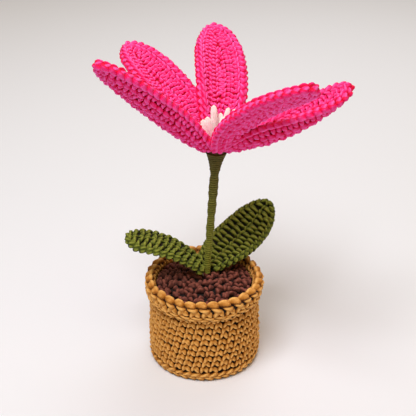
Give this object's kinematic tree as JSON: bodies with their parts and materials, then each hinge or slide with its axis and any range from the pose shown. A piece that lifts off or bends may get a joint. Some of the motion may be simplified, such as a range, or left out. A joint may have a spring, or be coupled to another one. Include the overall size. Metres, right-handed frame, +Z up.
{
  "type": "crocheted potted lily",
  "caption": "Crocheted cotton lily with long cupped petals on a wrapped wire stem, two leaves and domed soil, standing in a crocheted pot with a thick rolled brim.",
  "frame": {"origin": "centre of the pot's flat underside", "axes": "+Z up along the plant's height; -Y is the front, +X to the front viewer's right"},
  "size_m": [0.1394, 0.1266, 0.1995],
  "materials": {
    "tan_yarn": "mercerised cotton yarn, plied, soft sheen",
    "brown_yarn": "matte cotton yarn",
    "stem_yarn": "cotton yarn wound close",
    "leaf_yarn": "cotton yarn, soft sheen",
    "pink_yarn": "cotton yarn, soft sheen",
    "white_yarn": "soft cotton yarn",
    "fibrefill": "loose polyester stuffing",
    "board": "plain grey-brown pressed board",
    "wire": "bright drawn florist's wire"
  },
  "bodies": {
    "root": {"pot_cup": "tan_yarn", "pot_brim": "tan_yarn", "base_disc": "board", "filling": "fibrefill", "soil_disc": "brown_yarn", "stem_wire": "wire", "stem_wrap": "stem_yarn", "calyx_wrap": "stem_yarn", "petal_front_right": "pink_yarn", "petal_front_left": "pink_yarn", "petal_right": "pink_yarn", "petal_back_left": "pink_yarn", "petal_back": "pink_yarn", "petal_wire_front_right": "wire", "petal_wire_front_left": "wire", "petal_wire_right": "wire", "petal_wire_back_left": "wire", "petal_wire_back": "wire", "stamen_1": "white_yarn", "stamen_2": "white_yarn", "stamen_3": "white_yarn", "stamen_4": "white_yarn", "stamen_5": "white_yarn", "leaf_right": "leaf_yarn", "leaf_left": "leaf_yarn", "leaf_wire_right": "wire", "leaf_wire_left": "wire"}
  },
  "joints": []
}
